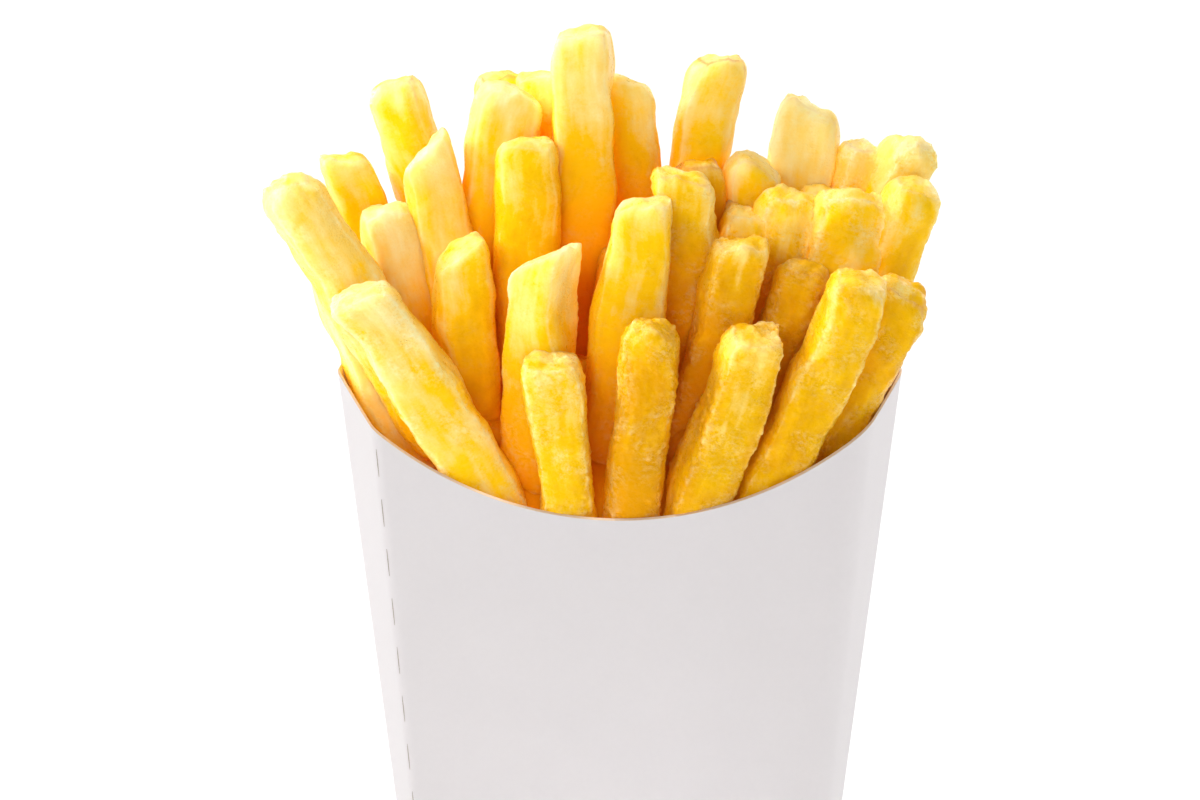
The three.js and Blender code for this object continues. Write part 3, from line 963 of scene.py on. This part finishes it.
backRow = {
    "openTo": 146,
    "hiddenFrom": 108,
    "stepsAcross": 18,
    "stepsAlong": 92,
    "seed": 11,
    "swell": 1.13,
    "fries": [
        (-46, 12, 131, -22, 8, 64, 7.8, 8.6, 15, 0, -0.4, 0, 0.08, 3.2, 0.45, 0.2, 0.6, 0.3),  # B1
        (-38, 19, 142, -24, 12, 98, 9, 8.8, 0, 0, 0, 0, 0.06, 2.6, 0.6, 0.2, 0.72, 0.4),  # C1
        (-20, 19.5, 143.3, -20, 10, 60, 8.2, 8.8, 10, 0, 0, 0, 0.05, 3, 0.45, 0.2, 0.6, 0.9),  # E4
        (-17.8, 10.5, 143.3, -20, 7, 60, 11.9, 9, 5, -3, -0.35, 0, 0.12, 2.4, 0.4, 0.1, 1, 0.15),  # E1
        (-13, 18, 144, -9, 10, 60, 8.6, 9, 0, 0, 0, 0, 0.05, 2.8, 0.4, 0.2, 0.7, 0.15),  # E3
        (-6, 9, 152.7, -5.7, 6.5, 60, 9.6, 9.4, 0, 0, 0.15, 0, 0.14, 4.2, 0.25, 0.2, 0.95, 0.35),  # F1
        (1.3, 15, 143.6, 2.3, 11, 60, 9, 8.8, 5, 0, -0.2, 0, 0.06, 2.6, 0.45, 0.2, 0.85, 0.15),  # F2
        (17, 16, 147.5, 8, 10, 60, 8.8, 8.8, 5, -3, 0.1, 0, 0.05, 2.3, 0.5, 0.2, 0.86, 0.9),  # G1
        (12.7, 7, 131, 11.5, 7, 76, 7.8, 8.4, 5, 0, 0, 0, 0.05, 2.8, 0.5, 0.5, 0.15, 1),  # G2
        (22.6, 9.5, 131.3, 17.5, 9.5, 60, 8.8, 9, 12, -2, -0.3, 0, 0.05, 2.3, 0.7, 0.3, 0.75, 0.35),  # I1
        (32.4, 17, 138.3, 15, 9.5, 60, 11, 9, -6, 0, -0.28, 0, 0.12, 5, 0.4, 0.2, 1.15, 0.3),  # I2
        (41, 15, 132.2, 22, 10, 60, 8.4, 8.8, 8, -1.5, 0, 0, 0.05, 2.2, 1.1, 0.9, 0.95, 0.35),  # K1
        (48.6, 13, 133.7, 29, 7, 60, 8.6, 8.8, 10, -2.5, 0, 0, 0.05, 2.2, 1.1, 0.9, 0.8, 0.3),  # K2
        (-33, 14, 118, -28, 10, 60, 9, 9, 5, 0, 0, 0, 0.05, 2.8, 0.4, 0.3, 0.5, 0.15),  # Q2
    ],
}

# Shorter fries that stand out of sight between the others
innerRow = {
    "openTo": 112,
    "hiddenFrom": 88,
    "stepsAcross": 13,
    "stepsAlong": 58,
    "seed": 17,
    "swell": 1.1,
    "fries": [  # all alike but for their tips, feet, turn, slant and tone
        (x, y, z, footX, footY, 60, 9, 9, turn, 0, slant, 0, 0.05, 2.8, 0.4, 0.3, tone, 0.15)
        for x, y, z, footX, footY, turn, slant, tone in (
            (-38, -1, 80, -32, -1, 10, 0, 0.4),
            (-27, 12, 112, -22, 9, 25, 0, 0.5),
            (-19, -5, 90, -17, -5, 5, -0.2, 0.3),
            (-7, -2, 100, -6, -2, -15, 0.2, 0.3),
            (-9, 13, 118, -8, 10, 20, 0, 0.5),
            (9, 12, 116, 7, 9, 0, 0.3, 0.5),
            (12, -7, 91, 8, -7, 15, 0, 0.3),
            (26, -6, 94, 19, -6, 5, -0.2, 0.3),
            (26, 13, 115, 20, 10, -10, 0, 0.4),
            (37, 12, 112, 28, 9, 20, 0.2, 0.5),
        )
    ],
}

foodOnly, sleeveOnly, tableOnly = (  # what some lights fall on
    bpy.data.collections.new(name) for name in ("foodOnly", "sleeveOnly", "tableOnly")
)
sleeveOnly.objects.link(sleeve)
tree = fryTree()
rows = {
    "fries_front": frontRow,
    "fries_second": secondRow,
    "fries_side": sideRow,
    "fries_third": thirdRow,
    "fries_back": backRow,
    "fries_inner": innerRow,
}
for name, row in rows.items():
    piece = makeFries(name, row, tree)
    wear(piece, "fries")
    foodOnly.objects.link(piece)


# Packed potato out of sight in the middle of the carton, under the loose fries, in mm
core = {
    "low": 1.1,
    "shoulder": 70,
    "high": 88,
    "inset": 1.2,
    "rows": 24,
    "domeRows": 16,
}


def makeCore():
    shoulder = core["shoulder"]
    levels = [(z, 1) for z in np.linspace(core["low"], shoulder, core["rows"])]  # height, share of width
    for share in np.linspace(0, 1, core["domeRows"] + 1)[1:-1]:
        angle = share * math.pi / 2
        levels.append((shoulder + (core["high"] - shoulder) * math.sin(angle), math.cos(angle)))
    inset = carton["board"] + core["inset"]
    columns = sleeveColumns()
    rings = []
    for z, width in levels:
        points = [sleevePoint(column, min(z, shoulder), inset) * width for column in columns]
        rings.append([(point.real, point.imag, z) for point in points])
    vertices, faces = skinRings(rings, (0, 0, core["low"]), (0, 0, core["high"]))
    mesh = makeMesh("fries_core", vertices, faces, potato)
    grainPlace = mesh.attributes.new("grainPlace", "FLOAT_VECTOR", "POINT")
    grainPlace.data.foreach_set("vector", np.ravel(vertices))
    # The core takes the full painted shade of the heap
    burial = mesh.attributes.new("burial", "FLOAT", "POINT")
    burial.data.foreach_set("value", [1.0] * len(vertices))
    mesh.polygons.foreach_set("use_smooth", [True] * len(faces))
    return addToScene("fries_core", mesh)


packed = makeCore()
wear(packed, "fries")
foodOnly.objects.link(packed)
print("core made")


# The floor's reach each way in mm, and the strength of the white all round
studio = {"floorReach": 6000, "whiteAround": 0.26}
reach = studio["floorReach"]
corners = [(-reach, -reach, 0), (reach, -reach, 0), (reach, reach, 0), (-reach, reach, 0)]
floor = addToScene("studio_floor", makeMesh("studio_floor", corners, [(0, 1, 2, 3)], studioPaper()))
tableOnly.objects.link(floor)

world = bpy.data.worlds.new("studio")
world.use_nodes = True
background = world.node_tree.nodes["Background"].inputs
background["Color"].default_value = (1, 1, 1, 1)
background["Strength"].default_value = studio["whiteAround"]
bpy.context.scene.world = world

# Square soft lights: place, target and size in metres, power in watts, colour, and what they fall on
# where that isn't everything
lights = {
    "key": ((-0.8, -0.03, 0.75), (0, 0, 0.1), 0.6, 2.8, (1, 0.99, 0.98), None),
    "sideFill": ((0.9, 0.1, 0.45), (0, 0, 0.08), 0.5, 0.6, (1, 1, 1), None),
    "foodKey": ((-0.75, 0.0, 0.55), (0, 0, 0.12), 0.3, 6.2, (1, 0.99, 0.96), foodOnly),
    "foodEdge": ((-0.6, 0.6, 0.3), (0, 0, 0.12), 0.3, 2.5, (1, 1, 0.98), foodOnly),
    "foodRim": ((0.5, 0.6, 0.4), (0, 0, 0.12), 0.5, 2.5, (1, 1, 1), foodOnly),
    "foodTop": ((-0.1, 0.45, 1.1), (0, 0, 0.12), 0.9, 5.7, (1, 1, 1), foodOnly),
    "foodFill": ((-0.35, -0.75, 0.5), (0, 0, 0.12), 0.4, 3.0, (1, 1, 1), foodOnly),
    "rimTop": ((0, 0, 1.2), (0, 0, 0.1), 0.3, 10, (1, 0.98, 0.95), sleeveOnly),
    "tableGlow": ((0, -0.042, 0.5), (0, -0.042, 0), 0.04, 1.5, (1, 1, 1), tableOnly),
}
tableSun = {"power": 2.8, "softness": 50, "lean": -15}  # softness and lean in degrees
glowSpread = 7  # degrees

for name, (at, target, size, power, colour, lit) in lights.items():
    light = bpy.data.lights.new(name, "AREA")
    light.shape = "SQUARE"
    light.size = size
    light.energy = power
    light.color = colour
    if name == "tableGlow":
        light.spread = math.radians(glowSpread)
    lamp = addToScene(name, light)
    lamp.location = at
    lamp.rotation_euler = (Vector(target) - Vector(at)).to_track_quat("-Z", "Y").to_euler()
    lamp.light_linking.receiver_collection = lit
sun = addToScene("tableSun", bpy.data.lights.new("tableSun", "SUN"))
sun.data.energy = tableSun["power"]
sun.data.angle = math.radians(tableSun["softness"])
sun.rotation_euler = (math.radians(tableSun["lean"]), 0, 0)
sun.light_linking.receiver_collection = tableOnly

bpy.context.scene.view_settings.view_transform = "Standard"
bpy.context.scene.cycles.diffuse_bounces = 10  # light goes on deep between the fries
print("studio lit by", len(lights) + 1, "lights")

camera = {
    "lens": 110,
    "azimuth": 0,
    "elevation": 15,  # degrees above the table
    "target": (-3.3, 0, 92),  # mm
    "distance": 605,
}

view = addToScene("camera", bpy.data.cameras.new("camera"))
view.data.lens = camera["lens"]
tilt = math.radians(camera["elevation"])
heading = math.radians(camera["azimuth"])
level = math.cos(tilt)
backward = Vector((math.sin(heading) * -level, -math.cos(heading) * level, math.sin(tilt)))
target = Vector(camera["target"]) * mm
view.location = target + backward * camera["distance"] * mm
view.rotation_euler = (math.radians(90) - tilt, 0, -heading)
bpy.context.scene.camera = view
